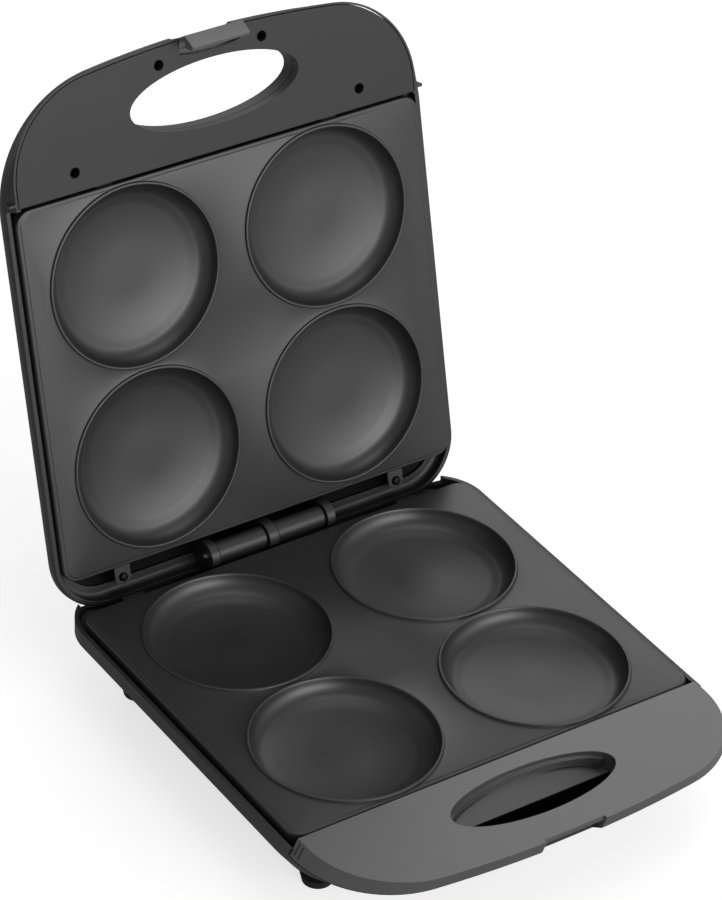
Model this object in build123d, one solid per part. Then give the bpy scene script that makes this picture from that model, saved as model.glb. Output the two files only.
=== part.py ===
from build123d import *
import os
from math import cos, radians, sin

# An electric pie maker, standing open. Millimetres, +Z up, X to the right, the handle at -Y.
# Both halves are drawn closed, about the parting plane at height 0, and each piece is then
# lifted to its height above the table. The lid's pieces are also swung open about the hinge.

# ---- whole machine ----
PARTING_HEIGHT = 52.0      # table to the plane where the two halves meet
HALF_GAP = 0.3             # each half stops this far from the parting plane
OPEN_ANGLE = 104.3         # how far the lid stands open
HINGE_Y = 117.2            # hinge axis, just under the parting plane
HINGE_Z = -0.55
ROW_CENTRE_Y = -19.4       # brings the middle of the open machine over the origin
WALL = 2.4                 # moulded wall

# ---- baking plates ----
PLATE_HALF_WIDTH = 125.0
PLATE_FRONT = -105.2
PLATE_REAR = 107.5
PLATE_CORNER = 9.0
PLATE_TOP = 1.8            # flat face, below the parting plane
PLATE_THICK = 3.0
PLATE_SKIRT = 8.2          # depth of the plate's side wall
PLATE_RIM_WIDTH = 2.2      # lowered border at the sides and the back
PLATE_RIM_STEP = 0.3
CUP_X = 60.0
CUP_Y = 52.25
BEAD_OUTER = 51.5
BEAD_INNER = 49.9
CUP_DEPTH = 13.5
CUP_FLOOR_RADIUS = 28.0
CUP_SHOULDER_RADIUS = 46.0
CUP_SHOULDER_DEPTH = 6.3
CUP_WALL = 2.5
TAB_REAR_X = 88.8          # lid only: the base's plate has tongues at the back instead
TAB_REAR_Y = 114.9
TAB_FRONT_X = 70.0
TAB_FRONT_Y = -114.0
TAB_HALF_WIDTH = 4.8
TAB_THICK = 1.6
TAB_DEPTH = 6.6            # base: face of the ears below the parting plane
TAB_DEPTH_LID = 5.0        # lid: the same, nearer to the plate's face
TONGUE_END = 111.9

# ---- shells ----
SHELL_HALF_WIDTH = 129.6
SHELL_REAR = 128.0
SHELL_REAR_CORNER = 31.0
BASE_RIM = 5.6             # the base's side rims, below the parting plane
HANDLE_RIM = 9.5           # the same under the handle's cover
REAR_RIM = 14.3            # the base's rear rim, lower, where the open lid comes to rest
BAND_BOTTOM = 14.6         # below this the base's walls draw in
LID_RIM = 5.0              # the lid's side rims, above the parting plane
LID_FLARE = 6.5            # up to this height the lid's walls lean out
BASE_BOTTOM = 47.0
BASE_FLOOR_HALF = 107.5
BASE_FLOOR_REAR = 108.0
BASE_FLOOR_FRONT = -116.0
LID_TOP = 46.0
HANDLE_FRONT = -174.0
HANDLE_HALF_WIDTH = 124.5
HANDLE_CORNER = 54.0
BOW_SLOPE = 7.24           # degrees, where the bowed front edge meets the round corner
HANDLE_REAR = -107.4       # the handle covers start just in front of the plates
LID_SLAB = 15.0            # thickness of the lid's handle
LID_EDGE = 6.0             # rounding of its outer edge
LID_TOP_HALF = 104.0
LID_TOP_REAR = 106.0
LID_TOP_FRONT = -90.0

# ---- handle details ----
HOLE_Y = -140.0            # hand hole in the lid's handle
HOLE_A = 52.0
HOLE_B = 18.5
RECESS_Y = -136.0          # finger recess in the base's handle
RECESS_A = 50.0
RECESS_B = 18.3
COVER_SCREWS = [(-88.3, -118.0), (88.3, -118.0), (-31.7, -162.0), (31.7, -162.0)]
BASE_SCREWS = [             # with the height of their seats
    (-88.3, -118.0, -18.5),
    (88.3, -118.0, -18.5),
    (-40.0, -155.0, -15.6),
    (40.0, -155.0, -15.6),
]
COVER_THICK = 2.5
COVER_INSET = 1.7          # the lid's cover lies this far inside the handle's edge
COVER_GAP = 0.5            # the open line round the lid's cover
GROOVE_Y = (-110.3, -113.6)   # short upright grooves in the base's sides, next to the plate
RIB_Y = -109.7             # a short rib on the lid's sides, in the same place

# ---- latch ----
LATCH_HALF_WIDTH = 17.6
NOTCH_HALF_WIDTH = 18.6
NOTCH_REAR = -163.0
LID_NOTCH_REAR = -164.4    # at its sides; the middle is hollowed by a shallow arc
LID_NOTCH_BOW = 1.8
LEDGE_FRONT = -171.5       # the edge that the latch hooks under
LEDGE_THICK = 3.0
LATCH_PIVOT_Y = -168.6
LATCH_PIVOT_Z = 5.4
LATCH_BARREL = 3.0
LATCH_BROW = (-175.9, -5.5)   # upper edge of its sloping face
LATCH_TIP = (-170.7, -12.8)
LATCH_PIN = 1.25

# ---- hinge ----
PIN_RADIUS = 2.0
RUNNING_FIT = 0.05
BARREL_RADIUS = 6.0
KNUCKLE_RADIUS = 7.5
BARREL_SPAN = (4.0, 34.0)
KNUCKLE_SPANS = [(-40.0, -35.0), (-3.0, 3.0), (35.0, 40.0)]

# ---- feet and inner parts ----
FOOT_X = 99.0
FOOT_Y = 89.0
FOOT_RADIUS = 9.3
HEATER_TUBE = 3.25
HEATER_X = 60.0
HEATER_Y = 60.0
HEATER_DEPTH = 19.8        # tube centre, under the cup floors
REFLECTOR_DEPTH = 29.0
LENS_X = 9.0
LENS_Y = -62.0
LENS_RADIUS = 4.0
SWITCH_EAR_X = 13.0
GLAND_X = 64.0
GLAND_Z = -29.0


# ---------------------------------------------------------------- helpers

def box(x0, x1, y0, y1, z0, z1):
    """A block between two corners."""
    return Pos((x0 + x1) / 2, (y0 + y1) / 2, (z0 + z1) / 2) * Box(x1 - x0, y1 - y0, z1 - z0)


def rod(radius, start, end):
    """A round bar from one point to another."""
    way = Vector(*end) - Vector(*start)
    return Solid.make_cylinder(radius, way.length, Plane(Vector(*start), z_dir=way))


def post(x, y, radius, z0, z1):
    """An upright round post."""
    return rod(radius, (x, y, z0), (x, y, z1))


def oval(y, a, b, z0, z1):
    """An upright elliptical post, centred on X."""
    return extrude(Pos(0, y, z0) * Ellipse(a, b), z1 - z0)


def outline(half_width, rear, front, rear_corner, front_corner):
    """The machine's plan: straight back and sides, round corners and a bowed front."""
    slope = radians(BOW_SLOPE)
    reach = half_width - front_corner + front_corner * sin(slope)
    bow_rise = reach / sin(slope) * (1 - cos(slope))
    corner_y = front + bow_rise + front_corner * cos(slope)
    half_turn = (radians(90) - slope) / 2

    def rear_arc(side):
        mid = rear_corner * (1 - cos(radians(45)))
        return [
            Vector(side * (half_width - rear_corner), rear),
            Vector(side * (half_width - mid), rear - mid),
            Vector(side * half_width, rear - rear_corner),
        ]

    def front_arc(side):
        centre_x = half_width - front_corner
        points = []
        for turn in (0, half_turn, 2 * half_turn):
            x = centre_x + front_corner * cos(turn)
            points.append(Vector(side * x, corner_y - front_corner * sin(turn)))
        return points

    back_right, side_right = rear_arc(1), front_arc(1)
    back_left, side_left = rear_arc(-1), front_arc(-1)
    edges = [
        Edge.make_line(back_left[0], back_right[0]),
        Edge.make_three_point_arc(*back_right),
        Edge.make_line(back_right[2], side_right[0]),
        Edge.make_three_point_arc(*side_right),
        Edge.make_three_point_arc(side_right[2], Vector(0, front), side_left[2]),
        Edge.make_three_point_arc(*reversed(side_left)),
        Edge.make_line(side_left[0], back_left[2]),
        Edge.make_three_point_arc(*reversed(back_left)),
    ]
    return Wire(edges)


def loft_levels(levels, inset=0.0, ruled=False):
    """A solid through outlines at several heights, each (z, half_width, rear, front, corners)."""
    wires = []
    for z, half_width, rear, front, rear_corner, front_corner in levels:
        ring = outline(
            half_width - inset,
            rear - inset,
            front + inset,
            max(rear_corner - inset, 4.0),
            max(front_corner - inset, 4.0),
        )
        wires.append(ring.moved(Location((0, 0, z))))
    return Solid.make_loft(wires, ruled)


def flip(shape):
    """The same piece for the other half, turned over about the parting plane."""
    return mirror(shape, about=Plane.XY)


# ---------------------------------------------------------------- shells

def base_levels(drop, floor):
    """The tub's outlines: an upright band at the sides, a front that leans back at once, the bottom."""
    front = HANDLE_FRONT + 3.2
    return [
        (-BASE_RIM - drop, SHELL_HALF_WIDTH, SHELL_REAR, front, SHELL_REAR_CORNER, 56.0),
        (-HANDLE_RIM - drop, SHELL_HALF_WIDTH, SHELL_REAR, front, SHELL_REAR_CORNER, 56.0),
        (-BAND_BOTTOM - drop, SHELL_HALF_WIDTH, SHELL_REAR, front + 7.6, SHELL_REAR_CORNER, 64.0),
        (-BASE_BOTTOM + floor, BASE_FLOOR_HALF, BASE_FLOOR_REAR, BASE_FLOOR_FRONT, 28.0, 34.0),
    ]


def base_outer():
    """The base tub, rounded where its walls meet the bottom."""
    tub = loft_levels(base_levels(0, 0), ruled=True)
    floor_edges = [e for e in tub.edges() if e.center().Z < -BASE_BOTTOM + 0.01]
    return tub.fillet(6.0, floor_edges)


def base_inner():
    """The hollow of the tub."""
    return loft_levels(base_levels(-1.0, WALL), inset=WALL, ruled=True)


def rear_dip():
    """What is taken off the base's rear rim, so that the open lid's rear edge can come down to it."""
    right = [(106, -REAR_RIM), (118.2, -8.8), (118.2, 10)]
    left = [(-x, z) for x, z in reversed(right)]
    dip = Polyline(*[(x, 95, z) for x, z in left + right], close=True)
    return extrude(Face(Wire(dip.edges())), 40, dir=(0, 1, 0))


def latch_notch(grow=0.0):
    """The space in the base's front that the closed latch comes down into."""
    half = NOTCH_HALF_WIDTH + grow
    return box(-half, half, HANDLE_FRONT - 10, NOTCH_REAR + grow, -24.0 - grow, 2.0)


def base_shell():
    outer = base_outer() - latch_notch()
    shell = outer - (base_inner() - latch_notch(WALL))
    shell -= box(-200, 200, -250, HANDLE_REAR + 0.3, -HANDLE_RIM, 5)
    shell -= rear_dip()
    shell += base_hinge_arms()
    tower_tops = [(x, y, 4.0, -13.0) for x, y, seat in BASE_SCREWS]
    tower_tops += [(x, y, 4.5, -TAB_DEPTH - 1.65) for x, y in front_tabs()]
    tower_tops += [(x, y, 3.5, -REFLECTOR_DEPTH - 0.05) for x in (-76, 76) for y in (-66, 66)]
    towers = [post(x, y, radius, -BASE_BOTTOM + 1.0, top) for x, y, radius, top in tower_tops]
    for tower in towers:
        shell += tower & outer
    shell += rod(9.0, (GLAND_X, 104, GLAND_Z), (GLAND_X, SHELL_REAR - 2.0, GLAND_Z)) - base_inner()
    shell -= rod(5.0, (GLAND_X, 90, GLAND_Z), (GLAND_X, 140, GLAND_Z))
    for x, y in foot_places():
        shell -= post(x, y, 3.1, -60, -30)
    for x, y in front_tabs():
        shell -= post(x, y, 1.3, -26.0, 0)
    for x, y, seat in BASE_SCREWS:
        shell -= post(x, y, 1.7, -60, 0)
        shell -= post(x, y, 3.1, -60, seat)
    wall_x = SHELL_HALF_WIDTH - WALL
    for side in (-1, 1):
        x = side * TAB_REAR_X
        shell += box(x - 6.5, x + 6.5, 107.9, 113.6, -BASE_BOTTOM + 1.0, -5.4) & outer
        shell -= box(x - 5.3, x + 5.3, 107.0, TONGUE_END + 0.4, -PLATE_SKIRT - 0.05, -PLATE_SKIRT + 1.5)
        for y in [-95.5 + 19.4 * step for step in range(10)]:
            shell += box(side * wall_x - 0.9, side * wall_x + 0.9, y - 0.8, y + 0.8, -14.0, -BASE_RIM - 1.2)
    return shell


def base_hinge_arms():
    """The two barrels and the webs that carry them from the rear wall."""
    arms = None
    for side in (-1, 1):
        near, far = (side * x for x in BARREL_SPAN)
        low, high = min(near, far), max(near, far)
        arm = rod(BARREL_RADIUS, (low, HINGE_Y, HINGE_Z), (high, HINGE_Y, HINGE_Z))
        arm += box(low, high, HINGE_Y - 4.5, HINGE_Y + 2.2, -19.0, HINGE_Z)
        arm += box(low - 1, high + 1, HINGE_Y - 6.0, SHELL_REAR - 1.6, -19.0, -15.6)
        arms = arm if arms is None else arms + arm
    return arms - hinge_bore()


def hinge_bore():
    return rod(PIN_RADIUS + RUNNING_FIT, (-60, HINGE_Y, HINGE_Z), (60, HINGE_Y, HINGE_Z))


def lid_levels(top):
    """The tray's outlines: a rim that leans out, then straight sides with much rounder front corners."""
    return [
        (HALF_GAP, HANDLE_HALF_WIDTH, SHELL_REAR - 1.0, HANDLE_FRONT, SHELL_REAR_CORNER, HANDLE_CORNER),
        (LID_FLARE, SHELL_HALF_WIDTH, SHELL_REAR, HANDLE_FRONT + 2.0, SHELL_REAR_CORNER, 68.0),
        (top, SHELL_HALF_WIDTH, SHELL_REAR, HANDLE_FRONT + 2.9, SHELL_REAR_CORNER, 70.0),
    ]


def dome_levels(foot, top):
    """The dome over the heater, from the tray's top to its own flat top."""
    inset = LID_EDGE + 0.6
    return [
        (foot, SHELL_HALF_WIDTH - inset, SHELL_REAR - inset, -114.5, SHELL_REAR_CORNER - inset, 46.0),
        (LID_SLAB, SHELL_HALF_WIDTH - inset, SHELL_REAR - inset, -114.5, SHELL_REAR_CORNER - inset, 46.0),
        (top, LID_TOP_HALF, LID_TOP_REAR, LID_TOP_FRONT, 26.0, 32.0),
    ]


def lid_outer():
    """The lid: a flat tray that runs on into the handle, and a dome over the heater."""
    tray = loft_levels(lid_levels(LID_SLAB), ruled=True)
    tray = tray.fillet(LID_EDGE, [e for e in tray.edges() if e.center().Z > LID_SLAB - 0.01])
    dome = loft_levels(dome_levels(LID_SLAB - 2.0, LID_TOP), ruled=True)
    dome = dome.fillet(11.0, [e for e in dome.edges() if e.center().Z > LID_TOP - 0.01])
    return tray + dome


def lid_inner():
    """The hollow of the lid, open at the parting plane."""
    tray = loft_levels(lid_levels(LID_SLAB - WALL), inset=WALL, ruled=True)
    tray = tray.fillet(3.5, [e for e in tray.edges() if e.center().Z > LID_SLAB - WALL - 0.01])
    edge = lid_levels(0)[0][1:]
    mouth = loft_levels([(HALF_GAP - 1.0,) + edge, (HALF_GAP,) + edge], inset=WALL, ruled=True)
    dome = loft_levels(dome_levels(LID_SLAB - 6.0, LID_TOP - WALL), inset=WALL, ruled=True)
    dome = dome.fillet(9.0, [e for e in dome.edges() if e.center().Z > LID_TOP - WALL - 0.01])
    return tray + mouth + dome


def lid_latch_notch(grow=0.0):
    """The latch's notch in the lid's front edge: straight sides and a slightly hollowed back."""
    low, high = -1.0, LID_SLAB + 5
    half = NOTCH_HALF_WIDTH + grow
    rear = LID_NOTCH_REAR + grow
    radius = (half ** 2 + LID_NOTCH_BOW ** 2) / (2 * LID_NOTCH_BOW)
    bow = post(0, rear + LID_NOTCH_BOW - radius, radius, low, high)
    notch = box(-half, half, HANDLE_FRONT - 10, rear, low, high)
    return notch + (bow & box(-half, half, rear - 1, HANDLE_REAR, low, high))


def cover_pocket():
    """The rebate in the lid's handle that its cover lies in."""
    return cover_blank(COVER_INSET - COVER_GAP, -1.0, HALF_GAP + COVER_THICK + 0.1)


def cover_blank(inset, low, high):
    """The handle's outline in front of the plate, as a flat slab."""
    edge = lid_levels(0)[0][1:]
    slab = loft_levels([(low,) + edge, (high,) + edge], inset=inset, ruled=True)
    return slab & box(-200, 200, -250, HANDLE_REAR, -5, 20)


def lid_shell():
    outer = lid_outer() - lid_latch_notch()
    collar = oval(HOLE_Y, HOLE_A + 2.2, HOLE_B + 2.2, 6.4, 40)
    shell = outer - (lid_inner() - lid_latch_notch(2.2) - collar)
    shell -= oval(HOLE_Y, HOLE_A, HOLE_B, -1, 40)
    shell -= cover_pocket()
    shell -= box(-200, 200, HANDLE_REAR + 1.4, 200, -1, LID_RIM)
    shell += lid_hinge_knuckles()
    for x, y in COVER_SCREWS:
        shell += post(x, y, 4.0, 9.6, LID_SLAB - 1.0)
        shell -= post(x, y, 1.3, 9.0, 13.6)
    post_feet = [(x, y, 4.3, TAB_DEPTH_LID + 1.65) for x, y in rear_tabs() + front_tabs()]
    post_feet += [(x, y, 3.5, REFLECTOR_DEPTH + 0.05) for x in (-76, 76) for y in (-66, 66)]
    for x, y, radius, foot in post_feet:
        shell += post(x, y, radius, foot, LID_TOP - 1.0) & outer
    for x, y in rear_tabs() + front_tabs():
        shell -= post(x, y, 1.3, 0, 13.4)
    wall_x = SHELL_HALF_WIDTH - WALL
    for side in (-1, 1):
        for y in [-97.5 + 23.6 * step for step in range(8)]:
            tooth_in, tooth_out = side * wall_x - 0.9, side * wall_x + 0.7
            shell += box(tooth_in, tooth_out, y - 0.7, y + 0.7, LID_RIM + 0.4, LID_RIM + 3.0)
        rib_in, rib_out = sorted((side * (HANDLE_HALF_WIDTH - 1.2), side * (SHELL_HALF_WIDTH - 1.2)))
        shell += box(rib_in, rib_out, RIB_Y - 0.8, RIB_Y + 0.8, HALF_GAP, LID_FLARE + 1.0)
    y, z = LATCH_PIVOT_Y, LATCH_PIVOT_Z
    shell -= rod(LATCH_PIN + RUNNING_FIT, (-30, y, z), (30, y, z))
    for x in (LENS_X, -LENS_X):
        shell -= post(x, LENS_Y, LENS_RADIUS + 0.1, 30, 60)
    return shell


def lid_hinge_knuckles():
    """Three knuckles on ribs that come down from the lid's rear wall."""
    knuckles = None
    for low, high in KNUCKLE_SPANS:
        rib = rod(KNUCKLE_RADIUS, (low, HINGE_Y, HINGE_Z), (high, HINGE_Y, HINGE_Z))
        rib += box(low, high, HINGE_Y - KNUCKLE_RADIUS, HINGE_Y + KNUCKLE_RADIUS, HINGE_Z, 16)
        rib += box(low, high, HINGE_Y - KNUCKLE_RADIUS, SHELL_REAR - 1.0, 8.5, 16)
        knuckles = rib if knuckles is None else knuckles + rib
    return knuckles - hinge_bore()


# ---------------------------------------------------------------- handle covers

def base_handle_panel():
    """Deep cover on the base's handle: a face level with the plate and a sloping skirt."""
    foot_half = SHELL_HALF_WIDTH - 0.3
    levels = [
        (-HALF_GAP, HANDLE_HALF_WIDTH, SHELL_REAR, HANDLE_FRONT, SHELL_REAR_CORNER, HANDLE_CORNER),
        (-HANDLE_RIM + 0.2, foot_half, SHELL_REAR, HANDLE_FRONT + 3.2, SHELL_REAR_CORNER, 56.0),
    ]
    front_only = box(-200, 200, -250, HANDLE_REAR, -40, 5)
    outer = loft_levels(levels, ruled=True) & front_only
    hollow = loft_levels(levels, inset=WALL, ruled=True)
    hollow = hollow & box(-200, 200, -250, HANDLE_REAR - WALL, -40, -HALF_GAP - LEDGE_THICK)
    half = NOTCH_HALF_WIDTH
    hollow -= box(-half - WALL, half + WALL, -250, NOTCH_REAR + WALL, -40, 5)
    panel = outer - hollow
    panel -= box(-half, half, -250, NOTCH_REAR, -40, -HALF_GAP - LEDGE_THICK)
    panel -= box(-half, half, -250, LEDGE_FRONT, -40, 5)
    panel = finger_recess(panel)
    for x, y, seat in BASE_SCREWS:
        panel += post(x, y, 4.0, -12.6, -HALF_GAP - LEDGE_THICK)
        panel -= post(x, y, 1.3, -20, -HALF_GAP - 1.5)
    for side in (-1, 1):
        x = side * TAB_FRONT_X
        panel -= box(x - 7, x + 7, TAB_FRONT_Y - 7, HANDLE_REAR + 1, -20, -TAB_DEPTH + 2.5)
    skin = loft_levels(levels, ruled=True) - loft_levels(levels, inset=0.8, ruled=True)
    for y in GROOVE_Y:
        panel -= skin & box(-140, 140, y - 0.6, y + 0.6, -8.0, -HALF_GAP - 1.2)
    return panel


def finger_recess(panel):
    """Oval opening with a collar, a stepped lip behind and a sloping shelf for the fingers."""
    top = -HALF_GAP
    pocket = oval(RECESS_Y, RECESS_A, RECESS_B, -40, 5)
    rear_y = RECESS_Y + RECESS_B
    lip = box(-48, 48, RECESS_Y + 5.0, rear_y + 5, top - 8.0, top - 3.4)
    pocket -= lip - oval(RECESS_Y, RECESS_A - 1.4, RECESS_B - 1.4, -40, 5)
    slope = Plane((0, rear_y, top - 7.5), x_dir=(1, 0, 0), z_dir=(0, -sin(radians(15)), cos(radians(15))))
    pocket -= slope * box(-60, 60, -16.5, 4.0, -2.0, 0)
    collar = oval(RECESS_Y, RECESS_A + 2.2, RECESS_B + 2.2, -13.6, top - 1)
    return panel + collar - pocket


def lid_handle_panel():
    """Flat cover inside the lid's handle, let into the shell's edge."""
    panel = cover_blank(COVER_INSET, HALF_GAP, HALF_GAP + COVER_THICK)
    panel += oval(HOLE_Y, HOLE_A + 1.8, HOLE_B + 1.8, HALF_GAP, 6.0)
    panel -= lid_latch_notch(0.1)
    for x, y in COVER_SCREWS:
        panel += post(x, y, 4.6, HALF_GAP, 9.5)
        panel -= post(x, y, 2.9, -1, 7.5)
        panel -= post(x, y, 1.6, -1, 12)
    panel -= oval(HOLE_Y, HOLE_A, HOLE_B, -5, 20)
    return panel


# ---------------------------------------------------------------- plates

def cup(wall):
    """A cup's hollow, or with a wall its outside: a flat floor and a bowl that steepens up to the lip."""
    middle = Vector(0, 0, -HALF_GAP - CUP_DEPTH - wall)
    floor_edge = middle + Vector(CUP_FLOOR_RADIUS, 0, 0)
    shoulder = Vector(CUP_SHOULDER_RADIUS + wall, 0, -HALF_GAP - CUP_SHOULDER_DEPTH)
    lip = Vector(BEAD_INNER + wall, 0, -HALF_GAP)
    above = Vector(BEAD_INNER + wall, 0, 1.0)
    bowl = Edge.make_tangent_arc(floor_edge, Vector(1, 0, 0), shoulder)
    edges = [
        Edge.make_line(middle, floor_edge),
        bowl,
        Edge.make_tangent_arc(shoulder, bowl % 1, lip),
        Edge.make_line(lip, above),
        Edge.make_line(above, Vector(0, 0, 1.0)),
        Edge.make_line(Vector(0, 0, 1.0), middle),
    ]
    return revolve(Face(Wire(edges)), Axis.Z, 360)


def cup_centres():
    return [(x, y) for x in (-CUP_X, CUP_X) for y in (-CUP_Y, CUP_Y)]


def plate_block(inset, z0, z1):
    """A slab with the plate's outline."""
    width = 2 * (PLATE_HALF_WIDTH - inset)
    depth = PLATE_REAR - PLATE_FRONT - 2 * inset
    corner = max(PLATE_CORNER - inset, 2)
    face = Pos(0, (PLATE_REAR + PLATE_FRONT) / 2, z0) * RectangleRounded(width, depth, corner)
    return extrude(face, z1 - z0)


def plate_border():
    """What is taken off along the sides and the back to leave the lowered border."""
    inner_x = PLATE_HALF_WIDTH - PLATE_RIM_WIDTH
    raised = plate_block(PLATE_RIM_WIDTH, -5, 2) + box(-inner_x, inner_x, PLATE_FRONT - 1, 0, -5, 2)
    return plate_block(0, -PLATE_TOP - PLATE_RIM_STEP, 1) - raised


def baking_plate(tabs, tab_depth):
    """Cast plate, cups down: skirted flange, four beaded cups, ears for its screws."""
    block = plate_block(0, -PLATE_SKIRT, -PLATE_TOP)
    top_edges = block.edges().filter_by_position(Axis.Z, -PLATE_TOP - 0.01, -PLATE_TOP + 0.01)
    plate = fillet(top_edges, 1.2)
    plate -= plate_border()
    plate -= plate_block(WALL, -20, -PLATE_TOP - PLATE_THICK)
    cup_body = cup(CUP_WALL) & box(-60, 60, -60, 60, -30, -PLATE_TOP - 1)
    bead = post(0, 0, BEAD_OUTER, -PLATE_TOP - 1, -HALF_GAP)
    outer_edge = bead.edges().filter_by_position(Axis.Z, -HALF_GAP - 0.01, -HALF_GAP + 0.01)
    bead = fillet(outer_edge, 0.6)
    for x, y in cup_centres():
        plate += Pos(x, y, 0) * (cup_body + bead)
    for x, y in cup_centres():
        plate -= Pos(x, y, 0) * cup(0)
    for x, y in tabs:
        plate += screw_tab(x, y, tab_depth)
    for x, y in ((0, -72), (0, -48), (0, HEATER_Y)):
        plate += post(x, y, 3.6, -HEATER_DEPTH - HEATER_TUBE + 0.05, -PLATE_TOP - 1)
        plate -= post(x, y, 1.3, -40, -12)
    for x in (-SWITCH_EAR_X, SWITCH_EAR_X):
        plate += post(x, 0, 3.0, -8.0, -PLATE_TOP - 1)
        plate -= post(x, 0, 1.1, -40, -4.0)
    return plate


def base_plate():
    """The lower plate: ears at the front, and two tongues at the back that slip into slots."""
    plate = baking_plate(front_tabs(), TAB_DEPTH)
    for x in (-TAB_REAR_X, TAB_REAR_X):
        plate += box(x - 5, x + 5, PLATE_REAR - 2.0, TONGUE_END, -PLATE_SKIRT, -PLATE_SKIRT + 1.4)
    return plate


def front_tabs():
    return [(side * TAB_FRONT_X, TAB_FRONT_Y) for side in (-1, 1)]


def rear_tabs():
    return [(side * TAB_REAR_X, TAB_REAR_Y) for side in (-1, 1)]


def screw_tab(x, hole_y, depth):
    """A flat ear with a round end and a screw hole."""
    half = TAB_HALF_WIDTH
    root_y = PLATE_REAR - 2.0 if hole_y > 0 else PLATE_FRONT + 2.0
    low, high = sorted((root_y, hole_y))
    ear = box(x - half, x + half, low, high, -depth - TAB_THICK, -depth)
    ear += post(x, hole_y, half, -depth - TAB_THICK, -depth)
    return ear - post(x, hole_y, 1.7, -depth - 5, 5)


# ---------------------------------------------------------------- heating

def heater():
    """Tubular element: one run bent round under the four cups, its cold ends at the middle back."""
    corners = [
        (-9.0, HEATER_Y),
        (-HEATER_X, HEATER_Y),
        (-HEATER_X, -HEATER_Y),
        (HEATER_X, -HEATER_Y),
        (HEATER_X, HEATER_Y),
        (9.0, HEATER_Y),
    ]
    path = FilletPolyline(*[(x, y, -HEATER_DEPTH) for x, y in corners], radius=24)
    section = Plane(path @ 0, z_dir=path % 0) * Circle(HEATER_TUBE)
    tube = sweep(section, path)
    for side in (-1, 1):
        tube += rod(1.4, (side * 9.5, HEATER_Y, -HEATER_DEPTH), (side * 5.2, HEATER_Y, -HEATER_DEPTH))
    return tube


def heater_clamps():
    """Two strips that hold the element up against the plate's bosses."""
    under = -HEATER_DEPTH - HEATER_TUBE
    front = box(-5, 5, -77, -43, under - 1.3, under - 0.05)
    rear = box(-20, 20, HEATER_Y - 5, HEATER_Y + 5, under - 1.3, under - 0.05)
    for x, y in ((0, -72), (0, -48)):
        front -= post(x, y, 1.7, -40, 0)
    rear -= post(0, HEATER_Y, 1.7, -40, 0)
    return [front, rear]


def pan_screw(x, y, head_z, head_radius, length, up, shank=1.25):
    """A pan-head screw; up is the way its shank points."""
    way = 1 if up else -1
    head = post(x, y, head_radius, *sorted((head_z, head_z - way * 2.0)))
    head = head.fillet(0.6, [e for e in head.edges() if abs(e.center().Z - (head_z - way * 2.0)) < 0.01])
    cross = box(x - 1.7, x + 1.7, y - 0.35, y + 0.35, *sorted((head_z - way * 2.1, head_z - way * 1.0)))
    cross += box(x - 0.35, x + 0.35, y - 1.7, y + 1.7, *sorted((head_z - way * 2.1, head_z - way * 1.0)))
    return (head - cross) + post(x, y, shank, *sorted((head_z - way * 0.1, head_z + way * length)))


def heater_screws():
    under = -HEATER_DEPTH - HEATER_TUBE - 1.35
    return [pan_screw(x, y, under, 2.8, 7.0, True) for x, y in ((0, -72), (0, -48), (0, HEATER_Y))]


def reflector():
    """Shallow sheet tray under the element, folded up at its edges."""
    tray = extrude(Pos(0, 0, -REFLECTOR_DEPTH) * RectangleRounded(176, 156, 22), 8)
    hollow = extrude(Pos(0, 0, -REFLECTOR_DEPTH + 0.8) * RectangleRounded(174.4, 154.4, 21.2), 10)
    return tray - hollow


# ---------------------------------------------------------------- small pieces

def base_feet():
    """Four turned-in feet: a pad under the shell and a stem pressed through it."""
    feet = []
    for x, y in foot_places():
        pad = Pos(x, y, -PARTING_HEIGHT) * Solid.make_cone(FOOT_RADIUS - 1.2, FOOT_RADIUS, 4.9)
        feet.append(pad + post(x, y, 3.05, -PARTING_HEIGHT + 4, -41.5))
    return feet


def foot_places():
    return [(x, y) for x in (-FOOT_X, FOOT_X) for y in (-FOOT_Y, FOOT_Y)]


def hinge_pin():
    pin = rod(PIN_RADIUS, (-41.5, HINGE_Y, HINGE_Z), (41.5, HINGE_Y, HINGE_Z))
    return pin.chamfer(0.5, 0.5, pin.edges().filter_by(GeomType.CIRCLE))


def latch_clip():
    """Moulded clip: a barrel on the pin, a front face and a hook that points back."""
    y, z = LATCH_PIVOT_Y, LATCH_PIVOT_Z
    points = [
        (y - LATCH_BARREL, z),
        LATCH_BROW,
        (LATCH_TIP[0] - 0.9, LATCH_TIP[1] + 0.8),
        LATCH_TIP,
        (-168.8, LATCH_TIP[1] + 1.5),
        (-168.8, -4.9),
        (-172.2, -4.5),
        (-172.1, 0.2),
        (y + 1.0, 2.2),
    ]
    profile = Polyline(*[(0, py, pz) for py, pz in points], close=True)
    arm = extrude(Face(Wire(profile.edges())), LATCH_HALF_WIDTH, both=True, dir=(1, 0, 0))
    clip = arm + rod(LATCH_BARREL, (-LATCH_HALF_WIDTH, y, z), (LATCH_HALF_WIDTH, y, z))
    return clip - rod(LATCH_PIN + RUNNING_FIT, (-30, y, z), (30, y, z))


def latch_pin():
    return rod(LATCH_PIN, (-20.4, LATCH_PIVOT_Y, LATCH_PIVOT_Z), (20.4, LATCH_PIVOT_Y, LATCH_PIVOT_Z))


def cord_gland():
    """Rubber bush in the rear wall, where the mains cord would come out."""
    face_y = SHELL_REAR - 2.0
    bush = rod(4.95, (GLAND_X, 106, GLAND_Z), (GLAND_X, face_y, GLAND_Z))
    bush += rod(7.2, (GLAND_X, face_y + 0.05, GLAND_Z), (GLAND_X, face_y + 3.5, GLAND_Z))
    bush += rod(4.95, (GLAND_X, face_y - 1, GLAND_Z), (GLAND_X, face_y + 1, GLAND_Z))
    return bush - rod(3.2, (GLAND_X, 100, GLAND_Z), (GLAND_X, 140, GLAND_Z))


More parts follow.
